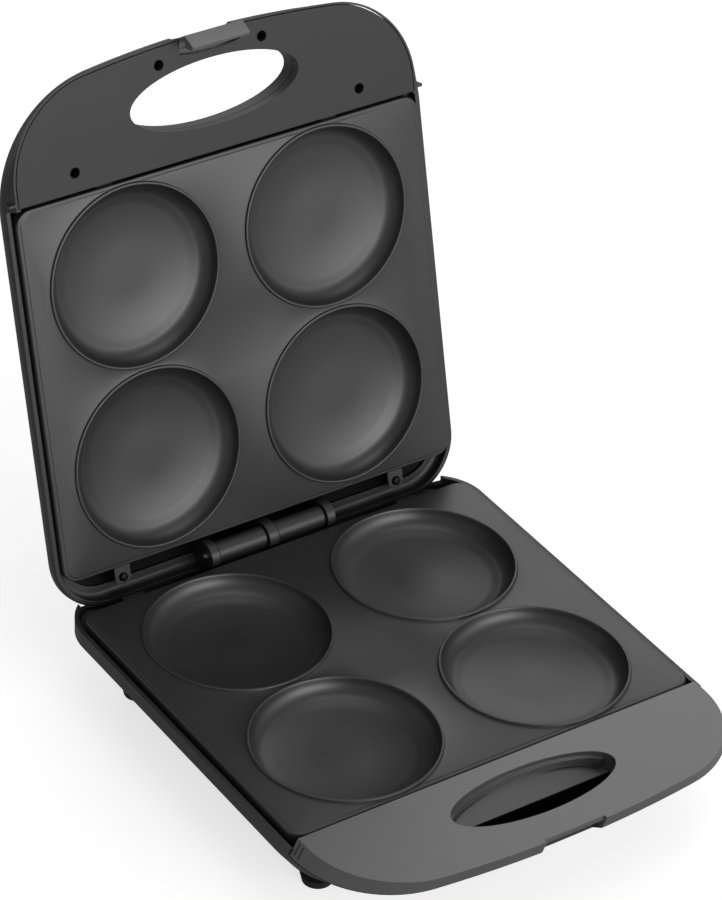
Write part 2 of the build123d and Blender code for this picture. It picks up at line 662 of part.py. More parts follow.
def lens(x):
    """Small domed lamp lens, snapped into the lid's top."""
    body = post(x, LENS_Y, LENS_RADIUS, 40, LID_TOP + 1.0)
    body = body.fillet(1.2, [e for e in body.edges() if e.center().Z > LID_TOP])
    return body


def lamps():
    """Two neon lamps behind the lenses."""
    return [rod(2.4, (x, LENS_Y + 1, 34.5), (x, LENS_Y + 14, 34.5)) for x in (-LENS_X, LENS_X)]


def terminal_block():
    block = box(-78, -48, 78, 94, -44.4, -33)
    for x in (-70.5, -63.0, -55.5):
        block -= post(x, 86, 2.4, -38, -30)
    return block


def thermostat():
    """Snap-disc switch between the cups: a can that touches the plate, an eared flange, its body."""
    switch = post(0, 0, 7.5, -8.1, -PLATE_TOP - PLATE_THICK - 0.05)
    switch += box(-SWITCH_EAR_X - 3, SWITCH_EAR_X + 3, -3.4, 3.4, -8.9, -8.05)
    switch += post(0, 0, 8.2, -16.5, -8.8)
    for x in (-SWITCH_EAR_X, SWITCH_EAR_X):
        switch -= post(x, 0, 1.4, -20, 0)
    for x in (-4.0, 4.0):
        switch += box(x - 0.4, x + 0.4, -3, 3, -21.5, -16.4)
    return switch


def thermostat_screws():
    return [pan_screw(x, 0, -8.95, 2.3, 4.0, True, 1.05) for x in (-SWITCH_EAR_X, SWITCH_EAR_X)]


def thermal_fuse():
    """Thermal cut-out in its sleeve, in the live lead."""
    return rod(3.0, (-63, 98, -24.5), (-41, 98, -24.5))


def lead(points, radius=1.3):
    path = FilletPolyline(*points, radius=4)
    section = Plane(path @ 0, z_dir=path % 0) * Circle(radius)
    return sweep(section, path)


def base_leads():
    """Inner leads of the base, between the terminals, the fuse, the switch and the element."""
    to_fuse = lead([(-70.5, 86, -32.9), (-70.5, 86, -24.5), (-70.5, 98, -24.5), (-63.1, 98, -24.5)])
    from_fuse = lead([(-40.9, 98, -24.5), (-6.5, 98, -24.5), (-6.5, 98, -16.9), (-6.5, HEATER_Y, -16.9)])
    neutral = lead([(-55.5, 86, -32.9), (-55.5, 86, -27.5), (22, 86, -27.5), (22, 108, -22.5)])
    return [to_fuse, from_fuse, neutral]


def lid_leads():
    """Inner leads of the lid, from the hinge side to the element and to the lamps."""
    feed = lead([(20, 106, 24), (20, 90, 24), (-6.5, 90, 24), (-6.5, 90, 16.9), (-6.5, HEATER_Y, 16.9)])
    lamp = lead([(24, 106, 28), (24, 104, 34), (24, -30, 34), (LENS_X, -40, 34), (LENS_X, -46.5, 34)])
    return [feed, lamp]


def plate_screws_base():
    """Pan-head screws through the plate's ears, down into the base's posts."""
    head = -TAB_DEPTH + 0.05
    return [pan_screw(x, y, head, 3.0, 9.0, False) for x, y in front_tabs()]


def plate_screws_lid():
    """The same in the lid, upwards, and at the back too."""
    return [pan_screw(x, y, TAB_DEPTH_LID - 0.05, 2.6, 8.0, True) for x, y in rear_tabs() + front_tabs()]


def panel_screws_base():
    return [pan_screw(x, y, seat, 2.7, 11, True) for x, y, seat in BASE_SCREWS]


def panel_screws_lid():
    return [pan_screw(x, y, 7.5, 2.6, 5.8, True) for x, y in COVER_SCREWS]


# ---------------------------------------------------------------- placing and writing

def in_base(shape):
    return Pos(0, ROW_CENTRE_Y, PARTING_HEIGHT) * shape


def in_lid(shape):
    axis = Pos(0, HINGE_Y + ROW_CENTRE_Y, PARTING_HEIGHT + HINGE_Z)
    swing = axis * Rot(X=-OPEN_ANGLE) * Pos(0, -HINGE_Y, -HINGE_Z)
    return swing * shape


def write(name, shape, place):
    """One file for each node; a list of like pieces becomes a group of separate solids."""
    pieces = shape if isinstance(shape, list) else [shape]
    solids = [solid for piece in pieces for solid in (place(piece)).solids()]
    whole = solids[0] if len(solids) == 1 else Compound(children=solids)
    export_step(whole, f"parts/{name}.step")


os.makedirs("parts", exist_ok=True)

BASE = {
    "base_shell": base_shell(),
    "base_handle_panel": base_handle_panel(),
    "base_plate": base_plate(),
    "base_feet": base_feet(),
    "base_heater": heater(),
    "base_heater_clamps": heater_clamps(),
    "base_heater_screws": heater_screws(),
    "base_reflector": reflector(),
    "base_plate_screws": plate_screws_base(),
    "base_panel_screws": panel_screws_base(),
    "thermostat": thermostat(),
    "thermal_fuse": thermal_fuse(),
    "terminal_block": terminal_block(),
    "base_leads": base_leads(),
    "thermostat_screws": thermostat_screws(),
    "cord_gland": cord_gland(),
    "hinge_pin": hinge_pin(),
}

LID = {
    "lid_shell": lid_shell(),
    "lid_handle_panel": lid_handle_panel(),
    "lid_plate": flip(baking_plate(rear_tabs() + front_tabs(), TAB_DEPTH_LID)),
    "lid_heater": flip(heater()),
    "lid_heater_clamps": [flip(strip) for strip in heater_clamps()],
    "lid_heater_screws": [flip(screw) for screw in heater_screws()],
    "lid_reflector": flip(reflector()),
    "lid_plate_screws": plate_screws_lid(),
    "lid_panel_screws": panel_screws_lid(),
    "power_lens": lens(-LENS_X),
    "ready_lens": lens(LENS_X),
    "lamps": lamps(),
    "lid_leads": lid_leads(),
    "latch_clip": latch_clip(),
    "latch_pin": latch_pin(),
}

for name, shape in BASE.items():
    write(name, shape, in_base)
for name, shape in LID.items():
    write(name, shape, in_lid)
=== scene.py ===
from math import cos, pi, radians, sin

import bmesh
import bpy
from mathutils import Matrix, Vector


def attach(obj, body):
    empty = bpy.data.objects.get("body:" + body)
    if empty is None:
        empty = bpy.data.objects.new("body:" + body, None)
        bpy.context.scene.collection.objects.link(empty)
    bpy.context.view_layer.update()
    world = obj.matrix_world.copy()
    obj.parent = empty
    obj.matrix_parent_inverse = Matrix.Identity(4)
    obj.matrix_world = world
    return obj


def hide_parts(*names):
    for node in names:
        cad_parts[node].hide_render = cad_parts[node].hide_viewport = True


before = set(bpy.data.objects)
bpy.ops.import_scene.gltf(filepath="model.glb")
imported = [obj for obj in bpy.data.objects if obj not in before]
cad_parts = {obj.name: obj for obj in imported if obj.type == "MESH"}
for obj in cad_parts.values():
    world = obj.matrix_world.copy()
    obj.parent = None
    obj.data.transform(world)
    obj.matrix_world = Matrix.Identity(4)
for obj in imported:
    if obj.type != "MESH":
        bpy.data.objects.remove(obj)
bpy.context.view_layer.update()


# ---- Base tub ----
# The lower half's outer shell: one moulding in heat-proof black-grey plastic with an upright band at
# its rim, walls that draw in below it, posts for the screws and the barrels of the hinge at its back.

def add_node(tree, kind, inputs=None, **settings):
    """Adds a node with its settings; an input is a value, or the output that it is linked to."""
    node = tree.nodes.new(kind)
    for name, value in settings.items():
        setattr(node, name, value)
    for key, value in (inputs or {}).items():
        if isinstance(value, bpy.types.NodeSocket):
            tree.links.new(value, node.inputs[key])
        else:
            node.inputs[key].default_value = value
    return node


def colour(hex_code):
    """An sRGB hex colour as the linear colour that a node wants."""
    parts = [int(hex_code[i:i + 2], 16) / 255 for i in (1, 3, 5)]
    linear = [p / 12.92 if p <= 0.04045 else ((p + 0.055) / 1.055) ** 2.4 for p in parts]
    return (*linear, 1.0)


def new_material(name):
    material = bpy.data.materials.new(name)
    material.use_nodes = True
    material.node_tree.nodes.clear()
    return material, material.node_tree


def moulded_plastic(name, dark, light, roughness, grain_mm, grain_depth_mm, ior=1.5, edge_mm=0.5):
    """Plastic from a spark-eroded mould: fine even pits, a faint cloudiness from the flow of the melt,
    and edges that are slightly round. The pits break up the gloss, so highlights are wide and soft."""
    material, tree = new_material(name)
    place = add_node(tree, "ShaderNodeTexCoord").outputs["Object"]
    pits = add_node(tree, "ShaderNodeTexNoise", {"Vector": place, "Scale": 1000 / grain_mm, "Detail": 2.0})
    cloud = add_node(tree, "ShaderNodeTexNoise", {"Vector": place, "Scale": 1000 / 38, "Detail": 3.0})
    blend = add_node(tree, "ShaderNodeMath", {0: cloud.outputs["Fac"], 1: 0.65}, operation="MULTIPLY")
    blend = add_node(tree, "ShaderNodeMath", {0: pits.outputs["Fac"], 1: 0.35, 2: blend.outputs[0]},
                     operation="MULTIPLY_ADD")
    tone = add_node(tree, "ShaderNodeMapRange", {"Value": blend.outputs[0], "From Min": 0.3, "From Max": 0.7})
    paint = add_node(tree, "ShaderNodeMix", {"Factor": tone.outputs[0], "A": colour(dark), "B": colour(light)},
                     data_type="RGBA")
    gloss = add_node(tree, "ShaderNodeMapRange", {"Value": pits.outputs["Fac"], "From Min": 0.25, "From Max": 0.75,
                                                  "To Min": roughness - 0.04, "To Max": roughness + 0.05})
    edge = add_node(tree, "ShaderNodeBevel", {"Radius": edge_mm / 1000}, samples=4)
    bump = add_node(tree, "ShaderNodeBump", {"Strength": 0.6, "Distance": grain_depth_mm / 1000,
                                             "Height": pits.outputs["Fac"], "Normal": edge.outputs[0]})
    shader = add_node(tree, "ShaderNodeBsdfPrincipled", {
        "Base Color": paint.outputs["Result"], "Roughness": gloss.outputs[0], "IOR": ior,
        "Normal": bump.outputs[0]})
    add_node(tree, "ShaderNodeOutputMaterial", {"Surface": shader.outputs[0]})
    return material


def finish_piece(piece, body, slot_name, *nodes):
    """Puts a piece on its body and in the place of its CAD nodes; the slot name is not used."""
    if piece.name not in bpy.context.scene.collection.objects:
        bpy.context.scene.collection.objects.link(piece)
    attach(piece, body)
    if nodes:
        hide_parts(*nodes)
    return piece


def shade_by_angle(mesh_data, sharp_degrees):
    """Round faces shaded round; edges that turn more than this stay crisp."""
    for face in mesh_data.faces:
        face.smooth = True
    for edge in mesh_data.edges:
        edge.smooth = edge.is_manifold and edge.calc_face_angle(0) < radians(sharp_degrees)


def moulding(node, name, body, slot_name, material, sharp_degrees=28):
    """A moulded piece from its CAD solid: triangles joined, flat faces made whole, round ones smooth."""
    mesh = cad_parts[node].data.copy()
    mesh.name = name
    work = bmesh.new()
    work.from_mesh(mesh)
    bmesh.ops.remove_doubles(work, verts=work.verts, dist=1e-5)
    bmesh.ops.dissolve_limit(work, angle_limit=radians(0.5), verts=work.verts, edges=work.edges)
    shade_by_angle(work, sharp_degrees)
    work.to_mesh(mesh)
    work.free()
    mesh.materials.clear()
    mesh.materials.append(material)
    return finish_piece(bpy.data.objects.new(name, mesh), body, slot_name, node)


# Glass-filled polypropylene, spark-eroded mould: nearly black, with a wide soft sheen.
shell_plastic = moulded_plastic("shell_polypropylene", "#1c1c1d", "#232324", 0.46, 0.7, 0.05, 1.68)
moulding("base_shell", "base_tub", "base", "shell_plastic", shell_plastic)


# ---- Base handle cover ----
# The deep cover on the base's handle, level with the plate: a separate moulding in a lighter grey,
# finer texture, with a sloping skirt, a latch ledge and the oval recess for the finger tips.

# ABS with a fine satin mould texture: mid grey, with a smoother sheen than the shells.
handle_plastic = moulded_plastic("handle_abs", "#3a3a3b", "#404041", 0.37, 0.5, 0.03, 2.2)
moulding("base_handle_panel", "base_handle_cover", "base", "handle_plastic", handle_plastic)


# ---- Baking plates ----
# Two pressure-cast aluminium plates with four round cups each, a raised ring round each cup, a lowered
# border and a skirt. They are sprayed with a dark non-stick coating and screwed down through four ears.

PLATE_HALF = 0.1250
PLATE_FRONT = -0.1052
PLATE_REAR = 0.1075
PLATE_CORNER = 0.009
CUP_PLACES = [(x, y) for x in (-0.060, 0.060) for y in (-0.05225, 0.05225)]
FRONT_EARS = [(x, -0.114) for x in (-0.070, 0.070)]
REAR_EARS = [(x, 0.1149) for x in (-0.0888, 0.0888)]
PARTING = 0.052
HINGE_Y = 0.1172
HINGE_Z = -0.00055
OPEN = radians(-104.3)
CENTRE_Y = -0.0194         # the origin lies under the middle of the open machine
RAISE = Matrix.Translation((0, CENTRE_Y, PARTING))
SWING = (Matrix.Translation((0, HINGE_Y + CENTRE_Y, PARTING + HINGE_Z)) @ Matrix.Rotation(OPEN, 4, "X")
         @ Matrix.Translation((0, -HINGE_Y, -HINGE_Z)))
FLIP = Matrix.Diagonal((1, 1, -1, 1))


def ring_of_plate(work, inset, height, front_height, corner_steps=10):
    """One loop round the plate, this far inside its outline; the front edge has its own height."""
    corner = max(PLATE_CORNER - inset, 0.0015)
    half, front, rear = PLATE_HALF - inset - corner, PLATE_FRONT + inset + corner, PLATE_REAR - inset - corner
    loop = []
    for centre_x, centre_y, start in ((half, rear, 0), (-half, rear, 1), (-half, front, 2), (half, front, 3)):
        for step in range(corner_steps + 1):
            turn = (start + step / corner_steps) * pi / 2
            near_front = {2: step / corner_steps, 3: 1 - step / corner_steps}.get(start, 0)
            level = height + near_front * (front_height - height)
            loop.append(work.verts.new((centre_x + corner * cos(turn), centre_y + corner * sin(turn), level)))
    return loop


def ring_of_circle(work, x, y, radius, height, steps=96):
    return [work.verts.new((x + radius * cos(2 * pi * i / steps), y + radius * sin(2 * pi * i / steps), height))
            for i in range(steps)]


def skin_between(work, outer, inner):
    """Quads between two loops of the same count."""
    count = len(outer)
    for i in range(count):
        j = (i + 1) % count
        work.faces.new((outer[i], outer[j], inner[j], inner[i]))


def close_with_centre(work, loop, x, y, height):
    centre = work.verts.new((x, y, height))
    for i, vertex in enumerate(loop):
        work.faces.new((vertex, loop[(i + 1) % len(loop)], centre))


def fill_round_holes(work, outer, holes):
    """The flat face between the plate's outline and its four cups."""
    edges = []
    for loop in [outer] + holes:
        for i, vertex in enumerate(loop):
            edges.append(work.edges.get((vertex, loop[(i + 1) % len(loop)])))
    return bmesh.ops.triangle_fill(work, edges=edges, use_beauty=True, use_dissolve=False)


def arc(radius, centre, start, end, steps):
    """Points (r, z) along an arc, by angle from straight down."""
    return [(centre[0] + radius * sin(start + (end - start) * i / steps),
             centre[1] - radius * cos(start + (end - start) * i / steps)) for i in range(steps + 1)]


def cup_inside():
    """Half section of a cup from the plate's face: raised ring, a wall that eases into the bowl, flat floor."""
    ring = [(51.85, -1.8), (51.6, -1.74), (51.5, -1.55), (51.47, -0.95), (51.36, -0.6), (51.15, -0.38),
            (50.8, -0.3), (50.3, -0.3), (50.02, -0.34), (49.86, -0.5), (49.62, -1.4)]
    wall = arc(10.61, (39.11, 0.42), radians(75.0), radians(13.0), 18)
    bowl = arc(131.0, (12.0, 117.2), radians(12.0), 0.0, 9)
    floor = [(6.0, -13.8)]
    return [(r / 1000, z / 1000) for r, z in ring + wall + bowl + floor]


def cup_outside():
    """The same from below: the bowl's underside."""
    wall = [(51.0, -4.8)] + arc(12.0, (39.0, -1.1), radians(76.0), radians(14.0), 8)
    floor = [(34.0, -14.6), (28.0, -16.0), (14.0, -16.3)]
    return [(r / 1000, z / 1000) for r, z in wall + floor]


def add_ear(work, x, y, depth):
    """A flat ear with a round end and a screw hole, at this depth under the face."""
    half, hole, steps = 0.0048, 0.0017, 24
    sign = 1 if y > 0 else -1
    root = PLATE_REAR - 0.0024 if y > 0 else PLATE_FRONT + 0.0024
    rims = []
    for height in (-depth, -depth - 0.0016):
        outer = []
        for i in range(steps):
            turn = 2 * pi * i / steps
            px, py = x + half * cos(turn), y + half * sin(turn)
            if sin(turn) * sign < -0.01:
                px = x + half * max(-1, min(1, cos(turn) * 1.6))
                py = root
            outer.append(work.verts.new((px, py, height)))
        inner = ring_of_circle(work, x, y, hole, height, steps)
        rims.append((outer, inner))
    (top, top_hole), (under, under_hole) = rims
    skin_between(work, top, top_hole)
    skin_between(work, under_hole, under)
    skin_between(work, under, top)
    skin_between(work, top_hole, under_hole)


def add_tongue(work, x):
    """A flat tongue that sticks out at the back, under the skirt, and slips into a slot of the shell."""
    size = (0.010, 0.0064, 0.0014)
    middle = (x, PLATE_REAR - 0.002 + size[1] / 2, -0.0082 + size[2] / 2)
    grown = bmesh.ops.create_cube(work, size=1, matrix=Matrix.LocRotScale(middle, None, size))
    corners = [edge for edge in {e for v in grown["verts"] for e in v.link_edges}]
    bmesh.ops.bevel(work, geom=corners, offset=0.0003, segments=2, affect="EDGES")


def cast_plate(name, ears, ear_depth, tongues, place, body, node, flip):
    """One plate, cups down, then put in its place."""
    work = bmesh.new()
    skirt = [(2.4, -4.8), (2.4, -7.9), (2.1, -8.2), (0.35, -8.2), (0.0, -7.9), (0.0, -3.0)]
    border = [(0.1, -2.55, -2.4), (0.35, -2.25, -2.05), (0.75, -2.1, -1.86), (1.2, -2.1, -1.8), (1.95, -2.1, -1.8),
              (2.1, -2.06, -1.8), (2.2, -1.94, -1.8), (2.3, -1.84, -1.8), (2.55, -1.8, -1.8)]
    loops = [ring_of_plate(work, inset / 1000, side / 1000, front / 1000)
             for inset, side, front in [(inset, low, low) for inset, low in skirt] + border]
    for below, above in zip(loops, loops[1:]):
        skin_between(work, below, above)
    mouths, necks = [], []
    for x, y in CUP_PLACES:
        inside = [ring_of_circle(work, x, y, r, z) for r, z in cup_inside()]
        for outer, inner in zip(inside, inside[1:]):
            skin_between(work, outer, inner)
        close_with_centre(work, inside[-1], x, y, -0.0138)
        outside = [ring_of_circle(work, x, y, r, z) for r, z in cup_outside()]
        for outer, inner in zip(outside, outside[1:]):
            skin_between(work, inner, outer)
        close_with_centre(work, list(reversed(outside[-1])), x, y, -0.0163)
        mouths.append(inside[0])
        necks.append(outside[0])
    fill_round_holes(work, loops[-1], mouths)
    fill_round_holes(work, loops[0], necks)
    for x, y in ears:
        add_ear(work, x, y, ear_depth)
    for x in tongues:
        add_tongue(work, x)
    bmesh.ops.recalc_face_normals(work, faces=work.faces)
    shade_by_angle(work, 40)
    mesh = bpy.data.meshes.new(name)
    work.to_mesh(mesh)
    work.free()
    mesh.transform(place @ FLIP if flip else place)
    if flip:
        mesh.flip_normals()
    mesh.materials.append(nonstick_coating)
    return finish_piece(bpy.data.objects.new(name, mesh), body, "nonstick_plate", node)


def sprayed_nonstick():
    """Sprayed fluoropolymer over grit-blasted aluminium: charcoal, silky, with a slight orange peel
    2 mm across and fine mineral specks, which are drawn 0.8 mm wide so that they show."""
    material, tree = new_material("nonstick_coating")
    place = add_node(tree, "ShaderNodeTexCoord").outputs["Object"]
    peel = add_node(tree, "ShaderNodeTexNoise", {"Vector": place, "Scale": 1000 / 2.0, "Detail": 2.0})
    specks = add_node(tree, "ShaderNodeTexNoise", {"Vector": place, "Scale": 1000 / 0.8, "Detail": 3.0})
    haze = add_node(tree, "ShaderNodeTexNoise", {"Vector": place, "Scale": 1000 / 60, "Detail": 4.0})
    tone = add_node(tree, "ShaderNodeMapRange", {"Value": haze.outputs["Fac"], "From Min": 0.3, "From Max": 0.7})
    base = add_node(tree, "ShaderNodeMix", {"Factor": tone.outputs[0], "A": colour("#222223"),
                                            "B": colour("#272728")}, data_type="RGBA")
    fleck = add_node(tree, "ShaderNodeMapRange", {"Value": specks.outputs["Fac"], "From Min": 0.6,
                                                  "From Max": 0.75, "To Max": 0.35})
    paint = add_node(tree, "ShaderNodeMix", {"Factor": fleck.outputs[0], "A": base.outputs["Result"],
                                             "B": colour("#444445")}, data_type="RGBA")
    gloss = add_node(tree, "ShaderNodeMapRange", {"Value": haze.outputs["Fac"], "From Min": 0.3, "From Max": 0.7,
                                                  "To Min": 0.38, "To Max": 0.44})
    height = add_node(tree, "ShaderNodeMath", {0: specks.outputs["Fac"], 1: 0.4, 2: peel.outputs["Fac"]},
                      operation="MULTIPLY_ADD")
    bump = add_node(tree, "ShaderNodeBump", {"Strength": 0.35, "Distance": 0.00008, "Height": height.outputs[0]})
    shader = add_node(tree, "ShaderNodeBsdfPrincipled", {
        "Base Color": paint.outputs["Result"], "Roughness": gloss.outputs[0], "IOR": 1.75,
        "Normal": bump.outputs[0]})
    add_node(tree, "ShaderNodeOutputMaterial", {"Surface": shader.outputs[0]})
    return material


nonstick_coating = sprayed_nonstick()
cast_plate("base_baking_plate", FRONT_EARS, 0.0066, [x for x, y in REAR_EARS], RAISE,
           "base", "base_plate", False)
cast_plate("lid_baking_plate", FRONT_EARS + REAR_EARS, 0.0050, [], SWING,
           "lid", "lid_plate", True)


# ---- Lid shell and its handle plate ----
# The lid's moulding: a tray that runs on into the handle with its hand hole, and a dome over the
# heater. A flat plate is let into the handle's inner side and held by four deep-set screws.

moulding("lid_shell", "lid_cover", "lid", "shell_plastic", shell_plastic)

# The same ABS as the base's cover, with painted shade: its colour is made a shade darker because the upright lid's
# handle plate takes less light than the base's level cover.
handle_plastic_painted_shade = moulded_plastic("handle_abs_painted_shade", "#272728", "#2c2c2d", 0.40, 0.5, 0.03, 1.5)
moulding("lid_handle_panel", "lid_handle_plate", "lid", "handle_plastic", handle_plastic_painted_shade)


# ---- Latch ----
# A moulded clip that hangs on a steel pin in the lid's front edge and hooks under the base's ledge.

# Painted light: the clip's grey is made much lighter than the handle plastic, standing in for the light on its
# up-facing front face.
latch_plastic = moulded_plastic("latch_nylon_painted_light", "#6a6a6b", "#717172", 0.34, 0.5, 0.02, 1.9)
moulding("latch_clip", "latch_hook", "latch", "latch_plastic", latch_plastic)


# ---- Feet and cord bush ----
# Rubber mouldings, dull and slightly dusty.

def moulded_rubber():
    """EPDM rubber: dark, matt, with a fine bloom 3 mm across on its surface."""
    material, tree = new_material("foot_rubber")
    place = add_node(tree, "ShaderNodeTexCoord").outputs["Object"]
    bloom = add_node(tree, "ShaderNodeTexNoise", {"Vector": place, "Scale": 1000 / 3, "Detail": 4.0})
    tone = add_node(tree, "ShaderNodeMapRange", {"Value": bloom.outputs["Fac"], "From Min": 0.3, "From Max": 0.7})
    paint = add_node(tree, "ShaderNodeMix", {"Factor": tone.outputs[0], "A": colour("#1c1c1d"),
                                             "B": colour("#262626")}, data_type="RGBA")
    gloss = add_node(tree, "ShaderNodeMapRange", {"Value": bloom.outputs["Fac"], "To Min": 0.65, "To Max": 0.85})
    bump = add_node(tree, "ShaderNodeBump", {"Strength": 0.3, "Distance": 0.0001, "Height": bloom.outputs["Fac"]})
    shader = add_node(tree, "ShaderNodeBsdfPrincipled", {
        "Base Color": paint.outputs["Result"], "Roughness": gloss.outputs[0], "IOR": 1.52,
        "Normal": bump.outputs[0]})
    add_node(tree, "ShaderNodeOutputMaterial", {"Surface": shader.outputs[0]})
    return material


foot_rubber = moulded_rubber()
moulding("base_feet", "rubber_feet", "base", "foot_rubber", foot_rubber)
moulding("cord_gland", "cord_bush", "base", "gland_rubber", foot_rubber)


# ---- Metal pieces ----
# Hinge and latch pins, clamps, trays and the switch: bright steel or aluminium, drawn, stamped or plated.

def drawn_metal(name, dark, light, roughness, grain_mm):
    """Bare or zinc-plated metal: fine patchy grain and a broken gloss."""
    material, tree = new_material(name)
    place = add_node(tree, "ShaderNodeTexCoord").outputs["Object"]
    grain = add_node(tree, "ShaderNodeTexNoise", {"Vector": place, "Scale": 1000 / grain_mm, "Detail": 5.0})
    tone = add_node(tree, "ShaderNodeMapRange", {"Value": grain.outputs["Fac"], "From Min": 0.3, "From Max": 0.7})
    paint = add_node(tree, "ShaderNodeMix", {"Factor": tone.outputs[0], "A": colour(dark), "B": colour(light)},
                     data_type="RGBA")
    gloss = add_node(tree, "ShaderNodeMapRange", {"Value": grain.outputs["Fac"], "To Min": roughness - 0.08,
                                                  "To Max": roughness + 0.1})
    bump = add_node(tree, "ShaderNodeBump", {"Strength": 0.2, "Distance": 0.00005, "Height": grain.outputs["Fac"]})
    shader = add_node(tree, "ShaderNodeBsdfPrincipled", {
        "Base Color": paint.outputs["Result"], "Roughness": gloss.outputs[0], "Metallic": 1.0,
        "Normal": bump.outputs[0]})
    add_node(tree, "ShaderNodeOutputMaterial", {"Surface": shader.outputs[0]})
    return material


def dress(node, material):
    """Gives a CAD piece its finish and leaves its shape as it is."""
    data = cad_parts[node].data
    data.materials.clear()
    data.materials.append(material)


# Zinc-plated steel: bright grey with a slight bluish cast.
plated_steel = drawn_metal("zinc_plated_steel", "#8c8e90", "#b4b6b8", 0.38, 0.9)
# Ground steel rod for both pins.
pin_steel = drawn_metal("ground_steel_rod", "#9a9a9a", "#bcbcbc", 0.28, 0.5)
# Steel tube of the heating elements, browned by its first firings.
heater_steel = drawn_metal("fired_steel_tube", "#5d5549", "#7e766a", 0.5, 2.5)
# Thin bright aluminium sheet of the trays under the elements.
tray_aluminium = drawn_metal("rolled_aluminium", "#b9babb", "#d2d3d4", 0.32, 1.8)

for node in ("hinge_pin", "latch_pin"):
    dress(node, pin_steel)
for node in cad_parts:
    if node.endswith("_clamps") or node == "thermostat":
        dress(node, plated_steel)
    elif node.endswith("_heater"):
        dress(node, heater_steel)
    elif node.endswith("_reflector"):
        dress(node, tray_aluminium)


# ---- Screws ----
# Pan-head steel screws with a cross recess and a rolled thread. Zinc-plated ones hold the elements and
# the switch; black ones hold the plates by their ears, and the handle covers from the bottom of deep holes.

SHANK = 0.00125            # over the thread's crest
HEAD_HEIGHT = 0.002
# Half section of head and shank: each ring's radius and height as shares of the screw's own sizes.
SCREW_RINGS = [
    ("Head Radius", 0.0, "Head Height", -1.0),
    ("Head Radius", 0.55, "Head Height", -1.0),
    ("Head Radius", 0.80, "Head Height", -0.86),
    ("Head Radius", 0.94, "Head Height", -0.58),
    ("Head Radius", 1.0, "Head Height", -0.2),
    ("Head Radius", 1.0, "Head Height", 0.0),
    ("Shank Radius", 0.8, "Length", 0.0),
    ("Shank Radius", 0.8, "Length", 0.9),
    ("Shank Radius", 0.0, "Length", 1.0),
]
PITCH = 0.0009


def screw_tree():
    """Puts a screw on every point of a mesh: the point is its seat and +Z the way its shank goes."""
    tree = bpy.data.node_groups.new("pan_head_screw", "GeometryNodeTree")
    tree.interface.new_socket("Places", in_out="INPUT", socket_type="NodeSocketGeometry")
    for name in ("Head Radius", "Head Height", "Shank Radius", "Length"):
        tree.interface.new_socket(name, in_out="INPUT", socket_type="NodeSocketFloat")
    tree.interface.new_socket("Finish", in_out="INPUT", socket_type="NodeSocketMaterial")
    tree.interface.new_socket("Screws", in_out="OUTPUT", socket_type="NodeSocketGeometry")
    given = add_node(tree, "NodeGroupInput").outputs

    def share(name, part):
        return add_node(tree, "ShaderNodeMath", {0: given[name], 1: part}, operation="MULTIPLY").outputs[0]

    def less(first, second):
        return add_node(tree, "ShaderNodeMath", {0: first, 1: second}, operation="SUBTRACT").outputs[0]

    def lifted(mesh, height):
        place = add_node(tree, "ShaderNodeCombineXYZ", {"Z": height}).outputs[0]
        return add_node(tree, "GeometryNodeTransform", {"Geometry": mesh, "Translation": place}).outputs[0]

    turned = add_node(tree, "GeometryNodeJoinGeometry")
    rings = [(share(wide, part), share(high, level)) for wide, part, high, level in SCREW_RINGS]
    for (radius, height), (next_radius, next_height) in zip(rings, rings[1:]):
        band = add_node(tree, "GeometryNodeMeshCone", {
            "Vertices": 32, "Radius Top": next_radius, "Radius Bottom": radius,
            "Depth": less(next_height, height)}, fill_type="NONE")
        tree.links.new(lifted(band.outputs["Mesh"], height), turned.inputs[0])
    body = add_node(tree, "GeometryNodeMergeByDistance", {"Geometry": turned.outputs[0], "Distance": 1e-6})

    # The cross recess: two bars, tapered by nothing, sunk half way into the head.
    bar_length, bar_width = share("Head Radius", 1.25), share("Head Radius", 0.25)
    cross = add_node(tree, "GeometryNodeJoinGeometry")
    for length, width in ((bar_length, bar_width), (bar_width, bar_length)):
        size = add_node(tree, "ShaderNodeCombineXYZ", {"X": length, "Y": width, "Z": share("Head Height", 1.2)})
        bar = add_node(tree, "GeometryNodeMeshCube", {"Size": size.outputs[0]})
        tree.links.new(lifted(bar.outputs["Mesh"], share("Head Height", -1.05)), cross.inputs[0])
    recessed = add_node(tree, "GeometryNodeMeshBoolean", {"Mesh 1": body.outputs[0], "Mesh 2": cross.outputs[0]},
                        operation="DIFFERENCE")

    # The thread: a ridge that winds along the shank.
    turns = add_node(tree, "ShaderNodeMath", {0: share("Length", 0.8), 1: PITCH}, operation="DIVIDE")
    wind = add_node(tree, "GeometryNodeCurveSpiral", {
        "Resolution": 24, "Rotations": turns.outputs[0], "Start Radius": share("Shank Radius", 0.82),
        "End Radius": share("Shank Radius", 0.82), "Height": share("Length", 0.8)})
    ridge = add_node(tree, "GeometryNodeCurvePrimitiveCircle", {
        "Resolution": 4, "Radius": share("Shank Radius", 0.17)}, mode="RADIUS")
    thread = add_node(tree, "GeometryNodeCurveToMesh", {
        "Curve": wind.outputs[0], "Profile Curve": ridge.outputs[0], "Fill Caps": True})
    screw = add_node(tree, "GeometryNodeJoinGeometry")
    tree.links.new(recessed.outputs["Mesh"], screw.inputs[0])
    tree.links.new(lifted(thread.outputs[0], share("Length", 0.08)), screw.inputs[0])

    placed = add_node(tree, "GeometryNodeInstanceOnPoints", {
        "Points": given["Places"], "Instance": screw.outputs[0]})
    real = add_node(tree, "GeometryNodeRealizeInstances", {"Geometry": placed.outputs[0]})
    painted = add_node(tree, "GeometryNodeSetMaterial", {
        "Geometry": real.outputs[0], "Material": given["Finish"]})
    add_node(tree, "NodeGroupOutput", {"Screws": painted.outputs[0]})
    return tree


